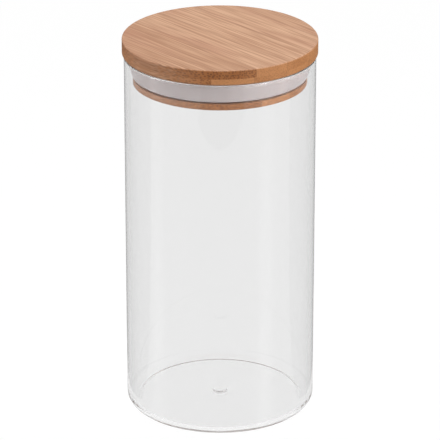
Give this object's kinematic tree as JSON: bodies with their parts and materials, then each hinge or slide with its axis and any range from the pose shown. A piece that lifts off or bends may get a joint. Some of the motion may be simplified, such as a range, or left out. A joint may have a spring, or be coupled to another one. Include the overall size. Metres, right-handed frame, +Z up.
{
  "type": "lidded glass canister",
  "caption": "Straight clear glass storage canister with a rounded foot and a turned bamboo plug lid that a flared silicone seal holds in its mouth.",
  "frame": {"origin": "on the jar's axis, in the plane it stands on", "axes": "+Z up along the jar's axis, -Y towards the pictured front, +X to that view's right"},
  "size_m": [0.102, 0.102, 0.2054],
  "materials": {
    "clear_glass": "fire-polished, clear",
    "milky_silicone": "moulded, satin, translucent white",
    "bamboo": "sanded and oiled, carbonised bamboo"
  },
  "bodies": {
    "jar": {"glass_jar": "clear_glass"},
    "seal": {"seal": "milky_silicone"},
    "lid": {"cover_top_strip_1": "bamboo", "cover_top_strip_2": "bamboo", "cover_top_strip_3": "bamboo", "cover_top_strip_4": "bamboo", "cover_top_strip_5": "bamboo", "cover_top_strip_6": "bamboo", "cover_under_strip_1": "bamboo", "cover_under_strip_2": "bamboo", "cover_under_strip_3": "bamboo", "cover_under_strip_4": "bamboo", "cover_under_strip_5": "bamboo", "cover_under_strip_6": "bamboo", "plug_bottom_strip_1": "bamboo", "plug_bottom_strip_2": "bamboo", "plug_bottom_strip_3": "bamboo", "plug_bottom_strip_4": "bamboo", "plug_bottom_strip_5": "bamboo", "plug_middle_strip_1": "bamboo", "plug_middle_strip_2": "bamboo", "plug_middle_strip_3": "bamboo", "plug_middle_strip_4": "bamboo", "plug_middle_strip_5": "bamboo", "plug_neck_strip_1": "bamboo", "plug_neck_strip_2": "bamboo", "plug_neck_strip_3": "bamboo", "plug_neck_strip_4": "bamboo", "plug_neck_strip_5": "bamboo"}
  },
  "joints": [
    {"name": "lid_lift", "type": "slide", "parent": "jar", "child": "seal", "axis": [0, 0, 1], "range_m": [0, 0.12]},
    {"name": "lid_turn", "type": "hinge", "parent": "seal", "child": "lid", "pos_m": [0, 0, 0.19], "axis": [0, 0, 1], "continuous": true}
  ]
}
